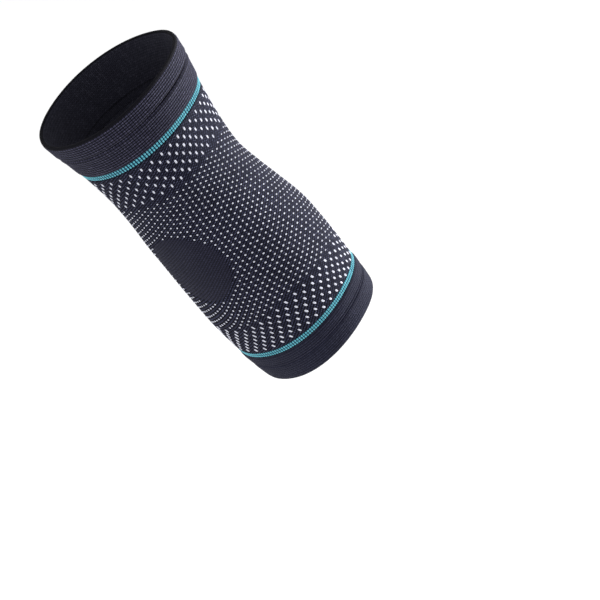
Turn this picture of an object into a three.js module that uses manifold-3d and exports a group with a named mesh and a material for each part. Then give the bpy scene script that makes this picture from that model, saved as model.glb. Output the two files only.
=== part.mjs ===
// Knitted elbow support sleeve in the form it has when worn: a knit tube with a plain oval panel
// over the point of the elbow, a narrow stripe at each end and a doubled elastic cuff past each
// stripe. The hollow for the arm runs right through.
//
// Millimetres. The origin is the centre of the elbow, on the arm's centre line and level with the
// middle of the oval panel. +Z runs up the upper arm to the shoulder. -Y points out of the back of
// the elbow, through the panel, and the forearm leans forward, to +Y.

import * as THREE from "three";
import Module from "manifold-3d";

// Lengths along the arm
const UPPER_LENGTH = 117.5; // elbow centre to the upper edge
const LOWER_LENGTH = 100; // elbow centre to the lower edge
const UPPER_CUFF_WIDTH = 30.1;
const LOWER_CUFF_WIDTH = 23.9;
const STRIPE_WIDTH = 3.8;
const PIECE_GAP = 0.3; // clearance where one piece meets the next

// Bend of the elbow
const ELBOW_BEND = 8; // degrees between the upper arm and the forearm
const BEND_LENGTH = 80; // stretch of the arm that the bend takes, half of it above the elbow

// Slant of the bands: at the back of the arm they lie nearer the elbow, in front further from it
const UPPER_SLANT = 1.5; // of the upper edge and stripe
const LOWER_SLANT = 1; // of the lower edge and stripe

// Dip of the bands: they hang lower at the back and in front than at the sides
const UPPER_DIP = 1.6; // of the upper edge and stripe
const LOWER_DIP = 2; // of the lower edge and stripe

// The arm that fills the sleeve: half of its size across
const UPPER_ARM_RADIUS = 49.5; // at the upper edge
const ELBOW_RADIUS = 45; // at the elbow
const FOREARM_RADIUS = 42; // at the lower edge
const SQUARENESS = 2.15; // of a section: 2 is an ellipse, and more is squarer

// Thickness of the knit
const BODY_WALL = 1.6;
const STRIPE_WALL = 1.9;
const CUFF_WALL = 2.7; // two layers
const UPPER_CREASE_DEPTH = 0.9; // sewn groove between a cuff's welt and its band
const LOWER_CREASE_DEPTH = 0.8;

// Oval panel over the point of the elbow
const PANEL_WIDTH = 55; // round the arm
const PANEL_HEIGHT = 52; // along the arm

// Facets
const FACETS_AROUND = 60;
const BODY_ROWS = 20;
const PANEL_SPOKES = 36;
const PANEL_RINGS = 5;

// Sections of the arm from the lower edge to the upper edge.
// along: share of LOWER_LENGTH below the elbow (negative), or of UPPER_LENGTH above it
// side, back, front: distance from the centre line to the skin, as shares of the row's radius
const ARM_SECTIONS = [
  { along: -1.0, radius: FOREARM_RADIUS, side: 1.01, back: 1.065, front: 0.865 },
  { along: -0.76, radius: FOREARM_RADIUS, side: 1.13, back: 1.09, front: 0.955 },
  { along: -0.5, radius: FOREARM_RADIUS, side: 1.185, back: 1.055, front: 1.05 },
  { along: -0.26, radius: ELBOW_RADIUS, side: 1.095, back: 0.915, front: 1.04 },
  { along: 0.0, radius: ELBOW_RADIUS, side: 1.035, back: 0.875, front: 0.975 },
  { along: 0.14, radius: ELBOW_RADIUS, side: 0.985, back: 0.875, front: 0.915 },
  { along: 0.3, radius: ELBOW_RADIUS, side: 0.93, back: 0.865, front: 0.86 },
  { along: 0.47, radius: ELBOW_RADIUS, side: 0.93, back: 0.875, front: 0.895 },
  { along: 0.64, radius: UPPER_ARM_RADIUS, side: 0.87, back: 0.85, front: 0.89 },
  { along: 0.82, radius: UPPER_ARM_RADIUS, side: 0.94, back: 0.925, front: 0.965 },
  { along: 1.0, radius: UPPER_ARM_RADIUS, side: 1.01, back: 1.01, front: 1.01 },
];

// Section through a cuff's wall, from the stripe over the outside to the edge and back inside.
// along: share of the cuff's width, 0 at the stripe and 1 at the edge of the sleeve
// out: share of CUFF_WALL off the skin
// crease: share of the crease's depth taken off
const UPPER_CUFF_SECTION = [
  { along: 0.0, out: 0.62, crease: 0 },
  { along: 0.03, out: 0.78, crease: 0 },
  { along: 0.1, out: 0.84, crease: 0 },
  { along: 0.3, out: 0.86, crease: 0 },
  { along: 0.46, out: 0.98, crease: 0 },
  { along: 0.52, out: 0.94, crease: 0 },
  { along: 0.55, out: 0.94, crease: 1 },
  { along: 0.58, out: 1.06, crease: 0 },
  { along: 0.66, out: 1.11, crease: 0 },
  { along: 0.9, out: 1.11, crease: 0 },
  { along: 0.97, out: 0.9, crease: 0 },
  { along: 1.0, out: 0.5, crease: 0 },
  { along: 0.98, out: 0.14, crease: 0 },
  { along: 0.94, out: 0.0, crease: 0 },
  { along: 0.65, out: 0.0, crease: 0 },
  { along: 0.3, out: 0.0, crease: 0 },
  { along: 0.0, out: 0.0, crease: 0 },
];
const LOWER_CUFF_SECTION = [
  { along: 0.0, out: 0.64, crease: 0 },
  { along: 0.04, out: 0.86, crease: 0 },
  { along: 0.15, out: 0.96, crease: 0 },
  { along: 0.3, out: 0.96, crease: 0 },
  { along: 0.33, out: 0.94, crease: 0.8 },
  { along: 0.37, out: 0.96, crease: 0 },
  { along: 0.41, out: 0.94, crease: 1 },
  { along: 0.45, out: 1.04, crease: 0 },
  { along: 0.6, out: 1.11, crease: 0 },
  { along: 0.86, out: 1.11, crease: 0 },
  { along: 0.96, out: 0.9, crease: 0 },
  { along: 1.0, out: 0.5, crease: 0 },
  { along: 0.98, out: 0.14, crease: 0 },
  { along: 0.93, out: 0.0, crease: 0 },
  { along: 0.5, out: 0.0, crease: 0 },
  { along: 0.0, out: 0.0, crease: 0 },
];

// Section through a stripe's wall, with the columns of the cuffs'. out is a share of STRIPE_WALL
const STRIPE_SECTION = [
  { along: 0.0, out: 0.82 },
  { along: 0.2, out: 1.0 },
  { along: 0.8, out: 1.0 },
  { along: 1.0, out: 0.82 },
  { along: 1.0, out: 0.0 },
  { along: 0.0, out: 0.0 },
];

// Edges of the bands, as distances above the elbow centre
const upperCuffStart = UPPER_LENGTH - UPPER_CUFF_WIDTH;
const upperStripeStart = upperCuffStart - PIECE_GAP - STRIPE_WIDTH;
const bodyTop = upperStripeStart - PIECE_GAP;
const lowerCuffStart = -(LOWER_LENGTH - LOWER_CUFF_WIDTH);
const lowerStripeStart = lowerCuffStart + PIECE_GAP + STRIPE_WIDTH;
const bodyBottom = lowerStripeStart + PIECE_GAP;

const stations = ARM_SECTIONS.map(({ along, radius, side, back, front }) => ({
  at: along * (along < 0 ? LOWER_LENGTH : UPPER_LENGTH),
  side: side * radius,
  back: back * radius,
  front: front * radius,
}));

// How fast one size of the arm grows at a station
function slopeAt(index, key) {
  const before = stations[Math.max(index - 1, 0)];
  const after = stations[Math.min(index + 1, stations.length - 1)];
  return (after[key] - before[key]) / (after.at - before.at);
}

// One size of the arm at any height, on a smooth curve through the stations
function armSize(along, key) {
  let index = 0;
  while (index < stations.length - 2 && stations[index + 1].at < along) index += 1;
  const [low, high] = [stations[index], stations[index + 1]];
  const span = high.at - low.at;
  const t = (along - low.at) / span;
  const rise = t * t * (3 - 2 * t);
  const leave = t * (1 - t) * (1 - t) * span * slopeAt(index, key);
  const arrive = t * t * (t - 1) * span * slopeAt(index + 1, key);
  return low[key] * (1 - rise) + high[key] * rise + leave + arrive;
}

// Distance from the centre line to the skin. The angle is 0 at the back of the elbow, and grows
// to +X
function armRadius(along, angle) {
  const depth = armSize(along, Math.cos(angle) > 0 ? "back" : "front");
  const across = Math.abs(Math.sin(angle) / armSize(along, "side")) ** SQUARENESS;
  const through = Math.abs(Math.cos(angle) / depth) ** SQUARENESS;
  return (across + through) ** (-1 / SQUARENESS);
}

// Point and lean of the arm's centre line: straight above the bend, an arc, and straight below it
function centreLine(along) {
  const bend = THREE.MathUtils.degToRad(ELBOW_BEND);
  const bendRadius = BEND_LENGTH / bend;
  const onArc = THREE.MathUtils.clamp(along, -BEND_LENGTH / 2, BEND_LENGTH / 2);
  const lean = bend * (0.5 - onArc / BEND_LENGTH);
  const past = along - onArc;
  return {
    y: bendRadius * (Math.cos(bend / 2) - Math.cos(lean)) - past * Math.sin(lean),
    z: bendRadius * (Math.sin(bend / 2) - Math.sin(lean)) + past * Math.cos(lean),
    lean,
  };
}

// How far the cloth is drawn up the arm at its back. In front it is drawn as far the other way
function slantAt(along) {
  const upper = THREE.MathUtils.smoothstep(along, 0, upperStripeStart);
  const lower = THREE.MathUtils.smoothstep(-along, 0, -lowerStripeStart);
  return lower * LOWER_SLANT - upper * UPPER_SLANT;
}

// How far the cloth is drawn down the arm at its back and in front
function dipAt(along) {
  const upper = THREE.MathUtils.smoothstep(along, 0, upperStripeStart);
  const lower = THREE.MathUtils.smoothstep(-along, 0, -lowerStripeStart);
  return upper * UPPER_DIP + lower * LOWER_DIP;
}

// Point of the cloth from its distance up the sleeve, its angle round the arm and its height off
// the skin
function clothPoint(height, angle, out) {
  const drawn = slantAt(height) * Math.cos(angle) - dipAt(height) * Math.cos(angle) ** 2;
  const along = height + drawn;
  const { y, z, lean } = centreLine(along);
  const reach = armRadius(along, angle) + out;
  const forward = -reach * Math.cos(angle);
  return [
    reach * Math.sin(angle),
    y + forward * Math.cos(lean),
    z + forward * Math.sin(lean),
  ];
}

function geometryOf(positions, indices) {
  const geometry = new THREE.BufferGeometry();
  geometry.setAttribute("position", new THREE.Float32BufferAttribute(positions, 3));
  geometry.setIndex(indices);
  geometry.computeVertexNormals();
  return geometry;
}

// Ring of cloth: a closed section of its wall, which goes up the outside, swept round the arm
function ringGeometry(section) {
  const positions = [];
  const indices = [];
  for (let i = 0; i < FACETS_AROUND; i += 1) {
    const angle = (2 * Math.PI * i) / FACETS_AROUND;
    for (const { at, out } of section) positions.push(...clothPoint(at, angle, out));
  }
  for (let i = 0; i < FACETS_AROUND; i += 1) {
    const here = i * section.length;
    const next = ((i + 1) % FACETS_AROUND) * section.length;
    for (let j = 0; j < section.length; j += 1) {
      const k = (j + 1) % section.length;
      indices.push(here + j, next + j, next + k, here + j, next + k, here + k);
    }
  }
  return geometryOf(positions, indices);
}

// Section of a band from a table, between the edge named start and the one named end. A band
// that runs down the arm is turned round, so that every section goes up the outside
function bandSection(table, start, end, wall, creaseDepth = 0) {
  const section = table.map(({ along, out, crease = 0 }) => ({
    at: THREE.MathUtils.lerp(start, end, along),
    out: out * wall - crease * creaseDepth,
  }));
  return end < start ? section.reverse() : section;
}

function bodySection() {
  const heights = Array.from({ length: BODY_ROWS + 1 }, (_, row) =>
    THREE.MathUtils.lerp(bodyBottom, bodyTop, row / BODY_ROWS),
  );
  const outside = heights.map((at) => ({ at, out: BODY_WALL }));
  const inside = heights.reverse().map((at) => ({ at, out: 0 }));
  return [...outside, ...inside];
}

// Oval slab that follows the arm over the point of the elbow, between two heights off the skin
function ovalSlab(halfWidth, halfHeight, inner, outer) {
  const backRadius = armRadius(0, 0) + BODY_WALL;
  const positions = [];
  const indices = [];
  const layerSize = 1 + PANEL_RINGS * PANEL_SPOKES;
  const vertex = (ring, spoke) =>
    ring === 0 ? 0 : 1 + (ring - 1) * PANEL_SPOKES + (spoke % PANEL_SPOKES);
  for (const out of [outer, inner]) {
    positions.push(...clothPoint(0, 0, out));
    for (let ring = 1; ring <= PANEL_RINGS; ring += 1) {
      for (let spoke = 0; spoke < PANEL_SPOKES; spoke += 1) {
        const turn = (2 * Math.PI * spoke) / PANEL_SPOKES;
        const arc = ((halfWidth * ring) / PANEL_RINGS) * Math.cos(turn);
        const along = ((halfHeight * ring) / PANEL_RINGS) * Math.sin(turn);
        positions.push(...clothPoint(along, arc / backRadius, out));
      }
    }
  }
  for (let spoke = 0; spoke < PANEL_SPOKES; spoke += 1) {
    for (let ring = 0; ring < PANEL_RINGS; ring += 1) {
      const a = vertex(ring, spoke);
      const b = vertex(ring, spoke + 1);
      const c = vertex(ring + 1, spoke + 1);
      const d = vertex(ring + 1, spoke);
      const facets = ring === 0 ? [[a, d, c]] : [[a, d, c], [a, c, b]];
      for (const [first, second, third] of facets) {
        indices.push(first, second, third);
        indices.push(layerSize + first, layerSize + third, layerSize + second);
      }
    }
    const e = vertex(PANEL_RINGS, spoke);
    const f = vertex(PANEL_RINGS, spoke + 1);
    indices.push(e, layerSize + e, layerSize + f, e, layerSize + f, f);
  }
  return geometryOf(positions, indices);
}

const wasm = await Module();
wasm.setup();

function solidOf(geometry) {
  const mesh = new wasm.Mesh({
    numProp: 3,
    vertProperties: geometry.getAttribute("position").array,
    triVerts: new Uint32Array(geometry.getIndex().array),
  });
  return new wasm.Manifold(mesh);
}

function geometryFrom(solid) {
  const { vertProperties, triVerts } = solid.getMesh();
  return geometryOf(Array.from(vertProperties), Array.from(triVerts));
}

// The tube between the stripes, with the panel's opening cut through its wall
function bodyGeometry() {
  const cutMargin = BODY_WALL;
  const cutter = ovalSlab(
    PANEL_WIDTH / 2 + PIECE_GAP,
    PANEL_HEIGHT / 2 + PIECE_GAP,
    -cutMargin,
    BODY_WALL + cutMargin,
  );
  return geometryFrom(solidOf(ringGeometry(bodySection())).subtract(solidOf(cutter)));
}

const navyKnit = { color: 0x2b2b38, roughness: 0.85, metalness: 0 };
const cuffKnit = { color: 0x30303e, roughness: 0.75, metalness: 0 };
const panelKnit = { color: 0x26262f, roughness: 0.85, metalness: 0 };
const tealYarn = { color: 0x4fbccb, roughness: 0.6, metalness: 0 };

function addPiece(group, name, geometry, finish) {
  const piece = new THREE.Mesh(geometry, new THREE.MeshStandardMaterial(finish));
  piece.name = name;
  group.add(piece);
}

const upperCuff = bandSection(
  UPPER_CUFF_SECTION,
  upperCuffStart,
  UPPER_LENGTH,
  CUFF_WALL,
  UPPER_CREASE_DEPTH,
);
const upperStripe = bandSection(
  STRIPE_SECTION,
  upperStripeStart,
  upperStripeStart + STRIPE_WIDTH,
  STRIPE_WALL,
);
const lowerStripe = bandSection(
  STRIPE_SECTION,
  lowerStripeStart,
  lowerStripeStart - STRIPE_WIDTH,
  STRIPE_WALL,
);
const lowerCuff = bandSection(
  LOWER_CUFF_SECTION,
  lowerCuffStart,
  -LOWER_LENGTH,
  CUFF_WALL,
  LOWER_CREASE_DEPTH,
);

const sleeve = new THREE.Group();
addPiece(sleeve, "upper_cuff", ringGeometry(upperCuff), cuffKnit);
addPiece(sleeve, "upper_stripe", ringGeometry(upperStripe), tealYarn);
addPiece(sleeve, "sleeve_body", bodyGeometry(), navyKnit);
addPiece(
  sleeve,
  "elbow_panel",
  ovalSlab(PANEL_WIDTH / 2, PANEL_HEIGHT / 2, 0, BODY_WALL),
  panelKnit,
);
addPiece(sleeve, "lower_stripe", ringGeometry(lowerStripe), tealYarn);
addPiece(sleeve, "lower_cuff", ringGeometry(lowerCuff), cuffKnit);

export default sleeve;
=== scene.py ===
"""Knitted elbow sleeve: the knit, its stripes, dots and cuffs, with the camera, light and floor."""

import math

import bpy
import numpy as np
from mathutils import Matrix, Vector


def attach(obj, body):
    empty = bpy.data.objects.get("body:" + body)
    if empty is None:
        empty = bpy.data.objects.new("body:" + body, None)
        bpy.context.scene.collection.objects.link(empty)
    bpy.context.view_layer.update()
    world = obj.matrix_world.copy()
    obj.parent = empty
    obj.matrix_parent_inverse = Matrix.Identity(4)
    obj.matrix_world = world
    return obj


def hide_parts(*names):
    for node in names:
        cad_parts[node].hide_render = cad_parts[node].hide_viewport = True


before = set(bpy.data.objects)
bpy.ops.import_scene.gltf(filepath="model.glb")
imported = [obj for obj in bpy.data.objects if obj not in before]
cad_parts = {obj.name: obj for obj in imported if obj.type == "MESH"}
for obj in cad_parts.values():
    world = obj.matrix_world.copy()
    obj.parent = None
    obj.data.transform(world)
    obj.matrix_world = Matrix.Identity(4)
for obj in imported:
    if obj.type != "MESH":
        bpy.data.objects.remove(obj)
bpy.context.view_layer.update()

# Sizes of the sleeve in millimetres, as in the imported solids
UPPER_LENGTH = 117.5
LOWER_LENGTH = 100.0
UPPER_CUFF_WIDTH = 30.1
LOWER_CUFF_WIDTH = 23.9
STRIPE_WIDTH = 3.8
PIECE_GAP = 0.3
ELBOW_BEND = math.radians(8)
BEND_LENGTH = 80.0
UPPER_SLANT = 1.5
LOWER_SLANT = 1.0
UPPER_DIP = 1.6
LOWER_DIP = 2.0
UPPER_ARM_RADIUS = 49.5
ELBOW_RADIUS = 45.0
FOREARM_RADIUS = 42.0
SQUARENESS = 2.15
BODY_WALL = 1.6
CUFF_WALL = 2.7
UPPER_CREASE_DEPTH = 0.9
LOWER_CREASE_DEPTH = 0.8
PANEL_WIDTH = 55.0
PANEL_HEIGHT = 52.0

UPPER_CUFF_START = UPPER_LENGTH - UPPER_CUFF_WIDTH
UPPER_STRIPE_START = UPPER_CUFF_START - PIECE_GAP - STRIPE_WIDTH
BODY_TOP = UPPER_STRIPE_START - PIECE_GAP
LOWER_CUFF_START = -(LOWER_LENGTH - LOWER_CUFF_WIDTH)
LOWER_STRIPE_START = LOWER_CUFF_START + PIECE_GAP + STRIPE_WIDTH
BODY_BOTTOM = LOWER_STRIPE_START + PIECE_GAP

# The knit: wales run along the arm, courses run round it
WALES = 144
WALE_STEPS = 4  # points across a wale
ROW_COURSES = 4  # courses from one dot to the next in a column
DOT_ROWS = 28  # rows of small dots
RIB_PITCH = 1.72  # of the cuffs' ribs, which run round the arm

# Sections of the arm: share of the length, radius, and side, back and front as shares of it
SECTIONS = (
    (-1.0, FOREARM_RADIUS, 1.01, 1.065, 0.865),
    (-0.76, FOREARM_RADIUS, 1.13, 1.09, 0.955),
    (-0.5, FOREARM_RADIUS, 1.185, 1.055, 1.05),
    (-0.26, ELBOW_RADIUS, 1.095, 0.915, 1.04),
    (0.0, ELBOW_RADIUS, 1.035, 0.875, 0.975),
    (0.14, ELBOW_RADIUS, 0.985, 0.875, 0.915),
    (0.3, ELBOW_RADIUS, 0.93, 0.865, 0.86),
    (0.47, ELBOW_RADIUS, 0.93, 0.875, 0.895),
    (0.64, UPPER_ARM_RADIUS, 0.87, 0.85, 0.89),
    (0.82, UPPER_ARM_RADIUS, 0.94, 0.925, 0.965),
    (1.0, UPPER_ARM_RADIUS, 1.01, 1.01, 1.01),
)
STATIONS = np.array([s[0] * (LOWER_LENGTH if s[0] < 0 else UPPER_LENGTH) for s in SECTIONS])


def smoothstep(x, low, high):
    t = np.clip((np.asarray(x, float) - low) / (high - low), 0, 1)
    return t * t * (3 - 2 * t)


def arm_size(along, column):
    """One size of the arm, on a smooth curve through the stations."""
    sizes = np.array([s[1] * s[column] for s in SECTIONS])
    last = len(sizes) - 1
    before = np.maximum(np.arange(last + 1) - 1, 0)
    after = np.minimum(np.arange(last + 1) + 1, last)
    slopes = (sizes[after] - sizes[before]) / (STATIONS[after] - STATIONS[before])
    i = np.clip(np.searchsorted(STATIONS, along) - 1, 0, last - 1)
    span = STATIONS[i + 1] - STATIONS[i]
    t = (along - STATIONS[i]) / span
    rise = t * t * (3 - 2 * t)
    leave = t * (1 - t) * (1 - t) * span * slopes[i]
    arrive = t * t * (t - 1) * span * slopes[i + 1]
    return sizes[i] * (1 - rise) + sizes[i + 1] * rise + leave + arrive


def cloth_points(height, angle, out):
    """Points of the cloth, in metres. The angle is in degrees, 0 at the back of the elbow."""
    height, angle, out = np.broadcast_arrays(
        np.asarray(height, float), np.radians(angle), np.asarray(out, float)
    )
    upper = smoothstep(height, 0, UPPER_STRIPE_START)
    lower = smoothstep(-height, 0, -LOWER_STRIPE_START)
    slant = lower * LOWER_SLANT - upper * UPPER_SLANT
    dip = upper * UPPER_DIP + lower * LOWER_DIP
    along = height + slant * np.cos(angle) - dip * np.cos(angle) ** 2
    depth = np.where(np.cos(angle) > 0, arm_size(along, 3), arm_size(along, 4))
    across = np.abs(np.sin(angle) / arm_size(along, 2)) ** SQUARENESS
    through = np.abs(np.cos(angle) / depth) ** SQUARENESS
    reach = (across + through) ** (-1 / SQUARENESS) + out
    radius = BEND_LENGTH / ELBOW_BEND
    on_arc = np.clip(along, -BEND_LENGTH / 2, BEND_LENGTH / 2)
    lean = ELBOW_BEND * (0.5 - on_arc / BEND_LENGTH)
    past = along - on_arc
    y = radius * (math.cos(ELBOW_BEND / 2) - np.cos(lean)) - past * np.sin(lean)
    z = radius * (math.sin(ELBOW_BEND / 2) - np.sin(lean)) + past * np.cos(lean)
    forward = -reach * np.cos(angle)
    return (
        np.stack(
            [reach * np.sin(angle), y + forward * np.cos(lean), z + forward * np.sin(lean)], -1
        )
        / 1000
    )


# The lattice of the knit: how its wales and courses lie on the arm
BACK_SWING, FRONT_SWING = 4.4, -1.8  # degrees by which wales crowd at the sides
TURN_START = 25  # height below which the knit turns round the forearm
TURN_LENGTH = 93
TURN_MOST = 1.043
TURN_POWER = 1.65
TURN_ANGLE = 20
TURN_UNEVEN = 10  # degrees more on one side of the arm, and less on the other
DRAWN_ANGLE = 9  # degrees by which the cloth is drawn round near the lower stripe


def wale_angle(wale, height):
    """Angle of a wale. The knit is closer at the sides, and turned a little round the forearm."""
    base = np.asarray(wale, float) * 360 / WALES
    swing = np.where(np.cos(np.radians(base)) > 0, BACK_SWING, FRONT_SWING)
    base = base + swing * np.sin(np.radians(2 * base))
    height = np.asarray(height, float)
    turn = np.clip((TURN_START - height) / TURN_LENGTH, 0, TURN_MOST) ** TURN_POWER
    angle = base + turn * (TURN_ANGLE + TURN_UNEVEN * np.cos(np.radians(base + 45)))
    side = (angle + 180) % 360 - 180
    drawn = smoothstep(80 - side, 0, 90) * (1 - smoothstep(-side, 40, 140))
    return angle + DRAWN_ANGLE * smoothstep(-height, 30, 72) * drawn


FIRST_ROW, LAST_SMALL_ROW, LAST_ROW = 51.3, -50, -70.9  # heights, before the dips and arches


def course_heights(angle):
    """Heights of the first small row, the last small row and the last row of all."""
    side = np.abs((np.asarray(angle, float) + 180) % 360 - 180)
    arch = np.exp(-(((side - 58) / 38) ** 2))
    level = LOWER_DIP * np.cos(np.radians(side)) ** 2
    back = np.cos(np.radians(side))
    first = FIRST_ROW + 2.4 * smoothstep(side, 30, 90) - 0.47 * back + 0.9 * back**2
    last = LAST_SMALL_ROW + 7 * arch + 0.77 * level
    return first, last, LAST_ROW + 1.8 * arch + level


# Courses are counted down from the first small row
LAST_SMALL = DOT_ROWS * ROW_COURSES
LAST_BIG = LAST_SMALL + 29
TOP_COURSE = -34.7


def course_height(course, angle):
    """Height at which a course lies. course_at is the other way round."""
    first, last, end = course_heights(angle)
    up = first + (BODY_TOP - first) * course / TOP_COURSE
    middle = first + (last - first) * course / LAST_SMALL
    down = last + (end - last) * (course - LAST_SMALL) / (LAST_BIG - LAST_SMALL)
    return np.where(course < 0, up, np.where(course < LAST_SMALL, middle, down))


def course_at(height, angle):
    first, last, end = course_heights(angle)
    up = TOP_COURSE * (height - first) / (BODY_TOP - first)
    middle = LAST_SMALL * (height - first) / (last - first)
    down = LAST_SMALL + (LAST_BIG - LAST_SMALL) * (height - last) / (end - last)
    return np.where(height > first, up, np.where(height > last, middle, down))


def panel_share(height, angle, middle=0.0):
    """0 at the middle of the oval panel and 1 at its edge."""
    arc = np.radians((np.asarray(angle, float) + 180) % 360 - 180)
    arc = arc * (arm_size(0.0, 3) + BODY_WALL)
    rise = np.asarray(height, float) - middle
    return np.hypot(arc / (PANEL_WIDTH / 2), rise / (PANEL_HEIGHT / 2))


# Materials
def node_tools(material):
    tree = material.node_tree
    tree.nodes.clear()

    def put(value, socket):
        if isinstance(value, bpy.types.NodeSocket):
            tree.links.new(value, socket)
        else:
            socket.default_value = value

    def maths(operation, a, b=0.0, c=0.0):
        node = tree.nodes.new("ShaderNodeMath")
        node.operation = operation
        for value, socket in zip((a, b, c), node.inputs):
            put(value, socket)
        return node.outputs[0]

    def mix(factor, a, b):
        node = tree.nodes.new("ShaderNodeMix")
        node.data_type = "RGBA"
        put(factor, node.inputs[0])
        put(a, node.inputs[6])
        put(b, node.inputs[7])
        return node.outputs[2]

    return tree, put, maths, mix


def rgb(red, green, blue):
    """Linear colour from its 0 to 255 screen values."""
    values = [v / 255 for v in (red, green, blue)]
    return [v / 12.92 if v <= 0.04045 else ((v + 0.055) / 1.055) ** 2.4 for v in values] + [1.0]


LOOP_LEAN = 0.8  # of a loop's legs, in courses for each wale
CLOUD_SCALE = 38.0
FUZZ_SCALE = 2600.0


def knit_material(
    name,
    colour,
    light,
    gap_shade,
    roughness=0.85,
    sheen=0.04,
    sheen_tint=(0.8, 0.82, 1.0, 1.0),
    legs=1.0,
    bump=0.0003,
    flecks=0.35,
    ribs=0.0,
    columns=0.0,
    hatch=0.0,
):
    """Knit whose loops follow the UV map: U counts wales and V counts courses. The third colour is
    painted shade in the gaps between loops. ribs, columns and hatch say how much shade is painted
    into the grooves between courses, wales and slanting rows of loops, and how much highlight onto
    the ridges."""
    material = bpy.data.materials.new(name)
    material.use_nodes = True
    tree, put, maths, mix = node_tools(material)
    nodes = tree.nodes
    uv = nodes.new("ShaderNodeUVMap")
    uv.uv_map = "knit"
    parts = nodes.new("ShaderNodeSeparateXYZ")
    tree.links.new(uv.outputs[0], parts.inputs[0])
    wale, course = parts.outputs[0], parts.outputs[1]
    # A loop has two legs, which lean away from each other
    across = maths("ABSOLUTE", maths("SUBTRACT", maths("FRACT", maths("ADD", wale, 0.5)), 0.5))
    leg = maths("SUBTRACT", 1.0, maths("ABSOLUTE", maths("MULTIPLY_ADD", across, 4.0, -1.0)))
    leg = maths("POWER", maths("MAXIMUM", leg, 0.0), 0.6)
    rung = maths("MULTIPLY_ADD", across, LOOP_LEAN * 2, maths("MULTIPLY", course, legs))
    strand = maths("ABSOLUTE", maths("MULTIPLY_ADD", maths("FRACT", rung), 2.0, -1.0))
    strand = maths("POWER", maths("MAXIMUM", maths("SUBTRACT", 1.0, strand), 0.0), 0.6)
    loop = maths("MULTIPLY", leg, strand)
    # Fleck of each leg
    cell = nodes.new("ShaderNodeCombineXYZ")
    put(maths("FLOOR", maths("MULTIPLY", wale, 2.0)), cell.inputs[0])
    put(maths("FLOOR", rung), cell.inputs[1])
    random = nodes.new("ShaderNodeTexWhiteNoise")
    random.noise_dimensions = "2D"
    tree.links.new(cell.outputs[0], random.inputs["Vector"])
    # Slow change over the cloth, and the yarn's fuzz
    place = nodes.new("ShaderNodeTexCoord")
    cloud = nodes.new("ShaderNodeTexNoise")
    tree.links.new(place.outputs["Object"], cloud.inputs["Vector"])
    cloud.inputs["Scale"].default_value = CLOUD_SCALE
    cloud.inputs["Detail"].default_value = 3.0
    fuzz = nodes.new("ShaderNodeTexNoise")
    tree.links.new(place.outputs["Object"], fuzz.inputs["Vector"])
    fuzz.inputs["Scale"].default_value = FUZZ_SCALE
    fuzz.inputs["Detail"].default_value = 2.0
    # The gaps between the loops take the third colour, which is painted shade
    shade = mix(loop, gap_shade, colour)
    fleck = maths("MULTIPLY_ADD", maths("POWER", random.outputs["Value"], 3.0), 0.7, 0.2)
    fleck = maths("MULTIPLY", fleck, flecks)
    shade = mix(maths("MULTIPLY", fleck, loop), shade, light)
    tone = maths("MULTIPLY_ADD", cloud.outputs["Fac"], 0.36, 0.82)
    tone = maths("MULTIPLY", tone, maths("MULTIPLY_ADD", fuzz.outputs["Fac"], 0.3, 0.85))

    def groove_shade_and_highlight(across_it, depth):
        """Painted shade as a dark line at each half count, and painted highlight as a light ridge
        at each whole one.
        """
        wave = maths("COSINE", maths("MULTIPLY", across_it, 2 * math.pi))
        return maths("MULTIPLY_ADD", wave, depth, 1.0)

    if ribs:
        tone = maths("MULTIPLY", tone, groove_shade_and_highlight(course, ribs))
    if columns:
        tone = maths("MULTIPLY", tone, groove_shade_and_highlight(wale, columns))
    if hatch:
        rising = maths("MULTIPLY", maths("ADD", wale, course), 0.5)
        falling = maths("MULTIPLY", maths("SUBTRACT", wale, course), 0.5)
        tone = maths("MULTIPLY", tone, groove_shade_and_highlight(rising, hatch))
        tone = maths("MULTIPLY", tone, groove_shade_and_highlight(falling, hatch * 0.45))
    toned = nodes.new("ShaderNodeVectorMath")
    toned.operation = "SCALE"
    put(shade, toned.inputs[0])
    put(tone, toned.inputs["Scale"])
    shader = nodes.new("ShaderNodeBsdfPrincipled")
    put(toned.outputs[0], shader.inputs["Base Color"])
    shader.inputs["Roughness"].default_value = roughness
    shader.inputs["Specular IOR Level"].default_value = 0.06
    shader.inputs["Sheen Weight"].default_value = sheen
    shader.inputs["Sheen Roughness"].default_value = 0.45
    shader.inputs["Sheen Tint"].default_value = sheen_tint
    relief = nodes.new("ShaderNodeBump")
    relief.inputs["Strength"].default_value = 1.0
    relief.inputs["Distance"].default_value = bump
    height = maths("MULTIPLY_ADD", fuzz.outputs["Fac"], 0.25, loop)
    put(height, relief.inputs["Height"])
    put(relief.outputs[0], shader.inputs["Normal"])
    output = nodes.new("ShaderNodeOutputMaterial")
    tree.links.new(shader.outputs[0], output.inputs[0])
    return material


def plain_material(name, colour, roughness):
    material = bpy.data.materials.new(name)
    material.use_nodes = True
    shader = material.node_tree.nodes["Principled BSDF"]
    shader.inputs["Base Color"].default_value = colour
    shader.inputs["Roughness"].default_value = roughness
    shader.inputs["Specular IOR Level"].default_value = 0.2
    return material


# The cuffs' ribs and columns and the body's and panel's hatch are painted groove shade and ridge
# highlight
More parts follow.
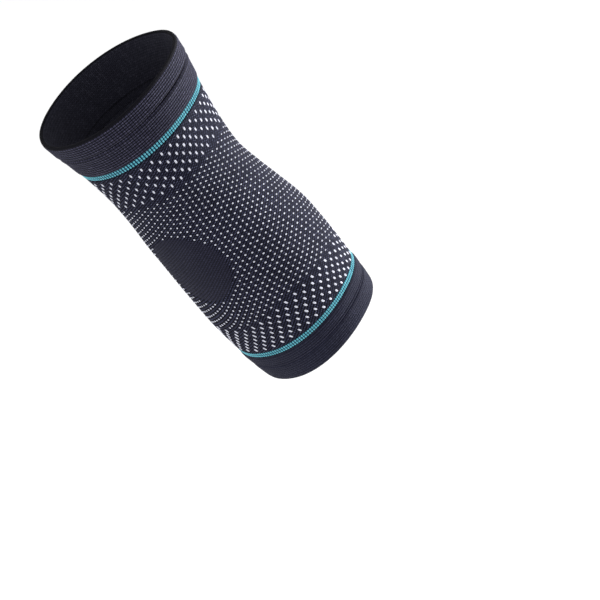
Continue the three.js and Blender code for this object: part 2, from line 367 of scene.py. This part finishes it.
upper_cuff_finish = knit_material(
    "upper_cuff_finish",
    rgb(36, 36, 53),
    rgb(114, 112, 136),
    rgb(10, 10, 18),
    sheen=0.07,
    legs=2.0,
    bump=0.00025,
    ribs=0.85,
    columns=0.55,
)
lower_cuff_finish = knit_material(
    "lower_cuff_finish",
    rgb(31, 32, 50),
    rgb(83, 84, 108),
    rgb(10, 11, 19),
    sheen=0.07,
    legs=2.0,
    bump=0.00025,
    ribs=0.4,
    columns=0.15,
)
# Painted shade: a near-black finish for the upper cuff's crease and rim, where shade falls
crease_and_rim_shade_finish = knit_material(
    "crease_and_rim_shade_finish", rgb(18, 17, 25), rgb(40, 39, 50), rgb(6, 6, 9), sheen=0.0, legs=2.0
)
body_finish = knit_material(
    "body_finish",
    rgb(20, 21, 37),
    rgb(98, 101, 128),
    rgb(3, 3, 9),
    sheen=0.01,
    flecks=0.55,
    hatch=0.95,
)
panel_finish = knit_material(
    "panel_finish", rgb(35, 35, 52), rgb(84, 84, 108), rgb(10, 10, 18), flecks=0.25, hatch=0.5
)
inside_finish = knit_material(
    "inside_finish", rgb(36, 36, 48), rgb(90, 90, 104), rgb(12, 12, 18), sheen=0.05
)
dot_finish = knit_material(
    "dot_finish",
    rgb(236, 238, 247),
    rgb(252, 253, 255),
    rgb(150, 151, 170),
    roughness=0.7,
    sheen=0.1,
    sheen_tint=(1.0, 1.0, 1.0, 1.0),
    bump=0.00015,
)
bar_finish = knit_material(
    "bar_finish",
    rgb(116, 194, 206),
    rgb(194, 237, 242),
    rgb(42, 130, 150),
    roughness=0.6,
    sheen=0.1,
    sheen_tint=(0.85, 1.0, 1.0, 1.0),
    bump=0.00015,
)
stripe_finish = knit_material(
    "stripe_finish",
    rgb(6, 66, 88),
    rgb(18, 106, 134),
    rgb(3, 34, 50),
    sheen=0.1,
    sheen_tint=(0.85, 1.0, 1.0, 1.0),
)


# Meshes
def add_mesh(name, points, faces, uvs, materials, face_materials=None):
    """Mesh object from arrays. uvs holds one pair for each corner of each face."""
    mesh = bpy.data.meshes.new(name)
    mesh.from_pydata(points.reshape(-1, 3).tolist(), [], [list(map(int, f)) for f in faces])
    layer = mesh.uv_layers.new(name="knit")
    layer.data.foreach_set("uv", np.asarray(uvs, np.float32).ravel())
    for material in materials:
        mesh.materials.append(material)
    if face_materials is not None:
        mesh.polygons.foreach_set("material_index", np.asarray(face_materials, np.int32))
    mesh.polygons.foreach_set("use_smooth", np.full(len(mesh.polygons), True))
    mesh.update()
    mesh.validate()
    thing = bpy.data.objects.new(name, mesh)
    bpy.context.scene.collection.objects.link(thing)
    return thing


def ring(name, rows, relief, materials, row_materials):
    """Closed ring of knit. rows lists (height, out, course) up the outside and down the inside,
    with nan for a course that follows from the height, and relief raises the outside."""
    count = WALES * WALE_STEPS
    wales = np.arange(count + 1) / WALE_STEPS
    heights = np.array([r[0] for r in rows])
    outs = np.array([r[1] for r in rows])
    courses = np.array([r[2] for r in rows], float)
    grid_wale, grid_height = np.meshgrid(wales, heights)
    angle = wale_angle(grid_wale, grid_height)
    grid_course = np.repeat(courses[:, None], count + 1, axis=1)
    missing = np.isnan(grid_course)
    grid_course[missing] = course_at(grid_height, angle)[missing]
    out = outs[:, None] + relief(grid_wale, grid_height, grid_course, angle)
    points = cloth_points(grid_height, angle, out)[:, :count]
    total = len(rows)
    faces = []
    uvs = []
    slots = []
    i = np.arange(count)
    n = (i + 1) % count
    for j in range(total):
        k = (j + 1) % total
        quad = np.stack([j * count + i, j * count + n, k * count + n, k * count + i], -1)
        faces.append(quad)
        corner = np.stack(
            [
                np.stack([grid_wale[j, i], grid_course[j, i]], -1),
                np.stack([grid_wale[j, i + 1], grid_course[j, i + 1]], -1),
                np.stack([grid_wale[k, i + 1], grid_course[k, i + 1]], -1),
                np.stack([grid_wale[k, i], grid_course[k, i]], -1),
            ],
            1,
        )
        uvs.append(corner)
        slots.append(np.full(count, row_materials[j]))
    return add_mesh(
        name,
        points,
        np.concatenate(faces),
        np.concatenate(uvs),
        materials,
        np.concatenate(slots),
    )


def side_of(wale, height):
    """How far round the arm a wale lies from the back of the elbow, in degrees."""
    return np.abs((wale_angle(wale, height) + 180) % 360 - 180)


def outline(table, wall, crease_depth):
    """Smooth outside of a cuff's wall: height off the skin at a share of the cuff's width."""
    shares = np.array([t[0] for t in table])
    outs = np.array([t[1] * wall - t[2] * crease_depth for t in table])
    fine = np.linspace(0, 1, 801)
    curve = np.interp(fine, shares, outs)
    kernel = np.hanning(21)
    kernel /= kernel.sum()
    padded = np.concatenate([np.full(10, curve[0]), curve, np.full(10, curve[-1])])
    return fine, np.convolve(padded, kernel, "valid")


# Outside of each cuff: share of its width, share of its wall, share of the crease's depth
UPPER_CUFF_OUTSIDE = (
    (0.0, 0.6, 0),
    (0.02, 0.8, 0),
    (0.1, 0.86, 0),
    (0.3, 0.88, 0),
    (0.4, 0.92, 0),
    (0.45, 1.04, 0),
    (0.5, 1.04, 0),
    (0.52, 0.8, 0.9),
    (0.55, 0.8, 1),
    (0.565, 0.9, 0.6),
    (0.58, 1.14, 0),
    (0.62, 1.18, 0),
    (0.75, 1.12, 0),
    (0.9, 1.12, 0),
    (0.96, 0.98, 0),
    (1.0, 0.6, 0),
)
LOWER_CUFF_OUTSIDE = (
    (0.0, 0.64, 0),
    (0.03, 0.88, 0),
    (0.15, 0.97, 0),
    (0.3, 0.98, 0),
    (0.32, 0.94, 0.4),
    (0.34, 0.94, 0.5),
    (0.355, 0.98, 0),
    (0.385, 0.98, 0),
    (0.4, 0.9, 0.5),
    (0.42, 0.9, 0.7),
    (0.435, 1.0, 0.1),
    (0.45, 1.06, 0),
    (0.6, 1.12, 0),
    (0.86, 1.12, 0),
    (0.95, 0.98, 0),
    (1.0, 0.6, 0),
)
UPPER_SEAMS = ((0.518, 0.565),)
LOWER_SEAMS = ((0.322, 0.345), (0.4, 0.428))
SEAM_SIDE = 48  # degrees from the back of the elbow where the painted shade in the crease starts
RIM_START = 0.95  # share of a cuff's width where its rim starts: painted shade on the upper cuff, the inside finish on the lower
FOLD_START = 0.975  # share of a cuff's width where its fold turns in
FOLD_TURNS = (0.18, 0.36, 0.54, 0.72, 0.9)  # of the half round of the fold
RIB_ROWS = 5  # rows of faces for each rib
SEAM_MARGIN, SEAM_ROWS = 0.006, 9
CREASE_FILL = 0.7  # share of the crease that is filled at the back of the elbow
COLUMN_SHARE = 0.6  # of the ribs' relief that the columns have


def cuff(name, table, seams, paint_shade, start, end, crease_depth, rib_relief, finish):
    """Doubled cuff: ribs round the arm on its outside, a rounded fold at its edge, and, when asked,
    painted shade in its crease and on its rim.
    """
    width = abs(end - start)
    ribs = round(width * 0.97 / RIB_PITCH)
    fine, curve = outline(table, CUFF_WALL, crease_depth)
    flat = outline(table, CUFF_WALL, 0)[1]
    round_wales = np.arange(WALES * WALE_STEPS) / WALE_STEPS
    shares = list(np.linspace(0, FOLD_START, ribs * RIB_ROWS + 1))
    for low, high in seams:
        shares += list(np.linspace(low - SEAM_MARGIN, high + SEAM_MARGIN, SEAM_ROWS))
    shares = np.unique(np.round(shares, 5))
    rim_slot = 2 if paint_shade else 1
    rows = []
    slots = []
    for share in shares:
        out = float(np.interp(share, fine, curve))
        rows.append((start + (end - start) * share, out, share * width / RIB_PITCH))
        # The rim and fold take painted shade on the upper cuff, the inside finish on the lower
        slot = rim_slot if share >= RIM_START else 0
        for low, high in seams:
            # Painted shade in the crease, on the sides away from the back of the elbow
            if paint_shade and low <= share < high:
                edge = abs(share - (low + high) / 2) / (high - low) * 2
                slot = np.where(side_of(round_wales, rows[-1][0]) > SEAM_SIDE + 30 * edge, 2, 0)
        slots.append(slot)
    last = rows[-1]
    # The fold: a half round from the outside to the inside
    for turn in FOLD_TURNS:
        swing = math.pi * turn
        out = last[1] * (0.5 + 0.5 * math.cos(swing))
        reach = FOLD_START + (1 - FOLD_START) * math.sin(swing)
        rows.append((start + (end - start) * reach, out, last[2] + turn * 2))
        slots.append(rim_slot)
    for share in np.linspace(FOLD_START - 0.005, 0.0, ribs + 1):
        rows.append((start + (end - start) * share, 0.0, last[2] + 2 + (1 - share) * ribs))
        slots.append(1)
    rows.append((rows[0][0], table[0][1] * CUFF_WALL * 0.5, 0.0))
    slots.append(1)

    def relief(wale, height, course, angle):
        share = np.abs(height - start) / width
        outside = np.zeros_like(height)
        outside[: len(shares)] = 1.0
        fade = smoothstep(share, 0.0, 0.03) * (1 - smoothstep(share, 0.93, 0.98))
        rib = np.cos(2 * math.pi * share * width / RIB_PITCH)
        column = np.cos(2 * math.pi * wale)
        filled = np.interp(share, fine, flat - curve)
        filled = filled * CREASE_FILL * (1 - smoothstep(side_of(wale, height), 40, 95))
        return outside * (filled + fade * rib_relief * (rib + COLUMN_SHARE * column - 1.0))

    if end < start:
        rows = rows[::-1]
        slots = slots[::-1]
        slots = slots[1:] + slots[:1]
        ordered = relief

        def relief(wale, height, course, angle):
            return ordered(wale[::-1], height[::-1], course[::-1], angle[::-1])[::-1]

    return ring(name, rows, relief, [finish, inside_finish, crease_and_rim_shade_finish], slots)


upper_cuff = cuff(
    "upper_cuff_knit",
    UPPER_CUFF_OUTSIDE,
    UPPER_SEAMS,
    # painted shade in the crease and on the rim
    True,
    UPPER_CUFF_START,
    UPPER_LENGTH,
    UPPER_CREASE_DEPTH,
    0.19,
    upper_cuff_finish,
)
lower_cuff = cuff(
    "lower_cuff_knit",
    LOWER_CUFF_OUTSIDE,
    LOWER_SEAMS,
    False,
    LOWER_CUFF_START,
    -LOWER_LENGTH,
    LOWER_CREASE_DEPTH,
    0.11,
    lower_cuff_finish,
)

# Body: one layer of knit, sunk a little under the panel
OUTER_ROWS, INNER_ROWS = 125, 31
BODY_RIB = 0.06
PANEL_SINK = 0.75
body_heights = np.linspace(BODY_BOTTOM, BODY_TOP, OUTER_ROWS)
inner_heights = np.linspace(BODY_TOP, BODY_BOTTOM, INNER_ROWS)
body_rows = [(h, BODY_WALL, math.nan) for h in body_heights]
body_rows += [(h, 0.0, math.nan) for h in inner_heights]
body_slots = [0] * OUTER_ROWS + [1] * (INNER_ROWS - 1) + [0]


def body_relief(wale, height, course, angle):
    outside = np.zeros_like(height)
    outside[:OUTER_ROWS] = 1.0
    under = 1 - smoothstep(panel_share(height, angle), 0.92, 0.985)
    rib = BODY_RIB * np.cos(2 * math.pi * wale) - BODY_RIB
    return outside * (rib * (1 - under) - PANEL_SINK * under)


body = ring("body_knit", body_rows, body_relief, [body_finish, inside_finish], body_slots)


PANEL_DROP = 0.06  # of the panel below the body's outside
PANEL_EDGE_DROP = 0.3
PANEL_THICKNESS = 0.9


def panel_patch():
    """Plain oval panel, a crowned patch of knit let into the body."""
    rings, spokes = 40, 160
    share = np.concatenate([np.linspace(0, 0.97, rings), [0.985, 0.995, 1.0]])
    turn = np.arange(spokes) * 2 * math.pi / spokes
    s, t = np.meshgrid(share, turn, indexing="ij")
    radius = float(arm_size(0.0, 3)) + BODY_WALL
    angle = np.degrees(s * PANEL_WIDTH / 2 * np.cos(t) / radius)
    height = s * PANEL_HEIGHT / 2 * np.sin(t)
    drop = PANEL_DROP + smoothstep(s, 0.975, 1.0) * PANEL_EDGE_DROP
    points = cloth_points(height, angle, BODY_WALL - drop)
    under = cloth_points(height, angle, np.full_like(s, BODY_WALL - PANEL_THICKNESS))
    # Wale at each point, found by stepping back along the turn of the knit
    wale = angle * WALES / 360
    for _ in range(12):
        wale = wale + (angle - wale_angle(wale, height)) * WALES / 360 * 0.8
    course = course_at(height, angle)
    faces, uvs = [], []
    total = len(share)
    shift = total * spokes
    for offset, order in ((0, (0, 1, 2, 3)), (shift, (0, 3, 2, 1))):
        for j in range(total - 1):
            for i in range(spokes):
                near, far = j * spokes, (j + 1) * spokes
                n = (i + 1) % spokes
                corners = (near + i, far + i, far + n, near + n)
                quad = [corners[q] for q in order]
                faces.append([q + offset for q in quad])
                uvs.append([[wale.flat[q], course.flat[q]] for q in quad])
    last = (total - 1) * spokes
    for i in range(spokes):
        a, b = last + i, last + (i + 1) % spokes
        faces.append([a, a + shift, b + shift, b])
        uvs.append([[wale.flat[q], course.flat[q]] for q in (a, a, b, b)])
    both = np.concatenate([points.reshape(-1, 3), under.reshape(-1, 3)])
    return add_mesh("panel_knit", both, faces, uvs, [panel_finish])


panel = panel_patch()


SQUARE = 4.5  # how square a raised stitch is: 2 is an ellipse
PILLOW_SPOKES = 12
PILLOW_LEVELS = ((0.0, 1.0), (0.55, 0.86), (0.86, 0.45), (1.0, -0.35))  # share, rise
MEAN_RADIUS = 43.0  # of the sleeve
WALE_WIDTH = 1.9
COURSE_WIDTH = 0.87


def pillows(name, spots, material):
    """Small raised stitches. A spot is its wale and course, its height and angle (None for the
    wale's own), its half width and half length, its foot's distance off the skin and its crown."""
    spokes = PILLOW_SPOKES
    points, faces, uvs = [], [], []
    turn = np.arange(spokes) * 2 * math.pi / spokes
    squircle = np.abs(np.cos(turn)) ** SQUARE + np.abs(np.sin(turn)) ** SQUARE
    squircle = squircle ** (-1 / SQUARE)
    for wale, course, height, angle, wide, tall, out, crown in spots:
        base = len(points)
        flat_uv = []
        centre = float(wale_angle(wale, height)) if angle is None else angle
        for share, rise in PILLOW_LEVELS:
            count = 1 if share == 0 else spokes
            across = share * wide * squircle[:count] * np.cos(turn[:count])
            along = share * tall * squircle[:count] * np.sin(turn[:count])
            slope = (wale_angle(wale, height + 1) - wale_angle(wale, height - 1)) / 2
            where = centre + np.degrees(across / MEAN_RADIUS) + slope * along
            p = cloth_points(height + along, where, out + crown * rise)
            points.extend(p.reshape(-1, 3))
            for a, b in zip(across, along):
                flat_uv.append((wale + a / WALE_WIDTH, course - b / COURSE_WIDTH))
        for i in range(spokes):
            n = (i + 1) % spokes
            first = [0, 1 + i, 1 + n]
            faces.append([base + q for q in first])
            uvs.extend(flat_uv[q] for q in first)
            for level in range(len(PILLOW_LEVELS) - 2):
                a, b = 1 + level * spokes, 1 + (level + 1) * spokes
                quad = [a + i, b + i, b + n, a + n]
                faces.append([base + q for q in quad])
                uvs.extend(flat_uv[q] for q in quad)
    return add_mesh(name, np.array(points), faces, uvs, [material])


def place_dot(column, course):
    """Height and angle of a dot, where its column meets its course."""
    wale = 2 * column
    height = 0.0
    for _ in range(8):
        angle = float(wale_angle(wale, height))
        height = float(course_height(course, angle))
    return height, float(wale_angle(wale, height))


BARE_MIDDLE = -1.3  # height of the middle of the oval without dots
BARE_SHARE = 1.03  # of the panel's size, inside which there are no dots
DASH_STEP = 8  # courses from one big dash to the next in a column
UPPER_DASHES, UPPER_DASHES_END = -30, -5
LOWER_DASHES, LOWER_DASH_COUNT = LAST_SMALL + 5, 4
DOT_HALF_WIDTH = 0.57
DASH_HALF_LENGTH, DOT_HALF_LENGTH = 1.25, 0.49
DOT_CROWN = 0.3
DOT_MARGIN = 0.1  # left bare at the body's lower edge

generator = np.random.default_rng(7)
spots = []
for column in range(WALES // 2):
    odd = column % 2
    shift = odd * DASH_STEP // 2
    # Big dashes near the upper stripe, small dots, and big dashes near the lower stripe
    rows = [(course, True) for course in range(UPPER_DASHES + shift, UPPER_DASHES_END, DASH_STEP)]
    rows += [(4 * row + 2 * odd, False) for row in range(DOT_ROWS + 1 - odd)]
    dashes = range(LOWER_DASH_COUNT - odd)
    rows += [(LOWER_DASHES + shift + DASH_STEP * dash, True) for dash in dashes]
    for course, big in rows:
        height, angle = place_dot(column, course)
        if panel_share(height, angle, BARE_MIDDLE) < BARE_SHARE:
            continue
        wide = DOT_HALF_WIDTH * (1 + 0.06 * generator.standard_normal())
        tall = DASH_HALF_LENGTH if big else DOT_HALF_LENGTH
        tall = tall * (1 + 0.05 * generator.standard_normal())
        if height - tall < BODY_BOTTOM + DOT_MARGIN:
            tall = max(0.5, height - BODY_BOTTOM - DOT_MARGIN)
        spots.append((2 * column, course, height, angle, wide, tall, BODY_WALL, DOT_CROWN))
dots = pillows("dot_stitches", spots, dot_finish)


STRIPE_OUT = 1.45  # of the stripe's ground off the skin
STRIPE_TUCK = PIECE_GAP + 0.2  # reach of a stripe's inside under the pieces beside it
STRIPE_ROWS = 9
STRIPE_COURSE = 0.8
STRIPE_RIB = 0.1
BAR_CROWN = 0.3
BAR_HALF_WIDTH = 0.51
BAR_SIDES = (-0.95, 0.95)  # of the two rows of bars, from the stripe's middle


def stripe(name, start):
    """Thin band of dark teal knit, which carries the raised bars."""
    heights = np.linspace(start, start + STRIPE_WIDTH, STRIPE_ROWS)
    share = np.abs(heights - start - STRIPE_WIDTH / 2) / (STRIPE_WIDTH / 2)
    outs = STRIPE_OUT * (1 - 0.15 * share**4)
    rows = [(float(h), float(o), (h - start) / STRIPE_COURSE) for h, o in zip(heights, outs)]
    # The inside is wider, so it closes the gaps to the body and the cuff
    middle = start + STRIPE_WIDTH / 2
    inner = middle + (heights[::-1] - middle) * (1 + 2 * STRIPE_TUCK / STRIPE_WIDTH)
    rows += [(float(h), 0.0, (h - start) / STRIPE_COURSE) for h in inner]
    slots = [0] * (STRIPE_ROWS - 1) + [1] * (STRIPE_ROWS + 1)

    def relief(wale, height, course, angle):
        outside = np.zeros_like(height)
        outside[:STRIPE_ROWS] = 1.0
        return outside * (STRIPE_RIB * np.cos(2 * math.pi * wale) - STRIPE_RIB)

    return ring(name, rows, relief, [stripe_finish, inside_finish], slots)


def bars(name, middle, tall):
    """Raised stitches of a stripe: one for each wale, at each of its sides."""
    spots = [
        (wale, 0.0, middle + side, None, BAR_HALF_WIDTH, tall, STRIPE_OUT, BAR_CROWN)
        for wale in range(WALES)
        for side in BAR_SIDES
    ]
    return pillows(name, spots, bar_finish)


upper_stripe = stripe("upper_stripe_knit", UPPER_STRIPE_START)
upper_bars = bars("upper_stripe_stitches", UPPER_STRIPE_START + STRIPE_WIDTH / 2, 0.84)
lower_stripe = stripe("lower_stripe_knit", LOWER_STRIPE_START - STRIPE_WIDTH)
lower_bars = bars("lower_stripe_stitches", LOWER_STRIPE_START - STRIPE_WIDTH / 2, 0.78)

pieces = {
    upper_cuff: ("cuff_knit", "upper_cuff"),
    lower_cuff: ("cuff_knit", "lower_cuff"),
    body: ("body_knit", "sleeve_body"),
    dots: ("body_knit", None),
    panel: ("panel_knit", "elbow_panel"),
    upper_stripe: ("stripe_yarn", "upper_stripe"),
    upper_bars: ("stripe_yarn", None),
    lower_stripe: ("stripe_yarn", "lower_stripe"),
    lower_bars: ("stripe_yarn", None),
}
for piece, (slot, node) in pieces.items():
    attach(piece, "root")
    if node:
        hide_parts(node)

# Floor, light and camera
FLOOR = -0.9
bpy.ops.mesh.primitive_plane_add(size=24, location=(0, 0, FLOOR))
floor = bpy.context.object
floor.name = "floor"
floor.data.materials.append(plain_material("floor_finish", (0.97, 0.97, 0.97, 1.0), 0.9))

world = bpy.data.worlds.new("pale_world")
bpy.context.scene.world = world
world.use_nodes = True
world.node_tree.nodes["Background"].inputs["Color"].default_value = (1.0, 1.0, 1.0, 1.0)
world.node_tree.nodes["Background"].inputs["Strength"].default_value = 1.0

AZIMUTH, ELEVATION, ROLL = math.radians(53.8), math.radians(22.0), math.radians(-39.4)
DISTANCE = 2.5
PIXELS_PER_METRE = 1590.0
FRAME = 600
SENSOR = 36.0
ORIGIN_PIXEL = (219.1, 222.1)
back = Vector(
    (
        math.sin(AZIMUTH) * math.cos(ELEVATION),
        -math.cos(AZIMUTH) * math.cos(ELEVATION),
        math.sin(ELEVATION),
    )
)
level = (-back).cross(Vector((0, 0, 1))).normalized()
upright = level.cross(-back)
right = level * math.cos(ROLL) + upright * math.sin(ROLL)
up = upright * math.cos(ROLL) - level * math.sin(ROLL)
aim = right * ((FRAME / 2 - ORIGIN_PIXEL[0]) / PIXELS_PER_METRE)
aim = aim - up * ((FRAME / 2 - ORIGIN_PIXEL[1]) / PIXELS_PER_METRE)
station = back * DISTANCE
toward = (station - aim).normalized()
side = up.cross(toward).normalized()
camera_data = bpy.data.cameras.new("camera")
camera = bpy.data.objects.new("camera", camera_data)
bpy.context.scene.collection.objects.link(camera)
camera_data.sensor_width = SENSOR
camera_data.lens = PIXELS_PER_METRE * DISTANCE * SENSOR / FRAME
camera_data.clip_end = 60.0
turned = Matrix((side, toward.cross(side), toward)).transposed()
camera.matrix_world = Matrix.Translation(station) @ turned.to_4x4()
bpy.context.scene.camera = camera


def area_light(name, place, size, power):
    """Soft square light that faces the elbow. Its size is in metres and its power in watts."""
    data = bpy.data.lights.new(name, "AREA")
    data.size = size
    data.energy = power
    lamp = bpy.data.objects.new(name, data)
    bpy.context.scene.collection.objects.link(lamp)
    lamp.location = place
    lamp.rotation_euler = place.to_track_quat("Z", "Y").to_euler()


area_light("key_light", back * -0.75 + right * 1.9 + up * 0.9, 1.2, 195)
area_light("fill_light", back * 1.8 - right * 0.6 - up * 0.9, 1.6, 14)

bpy.context.scene.view_settings.view_transform = "Standard"
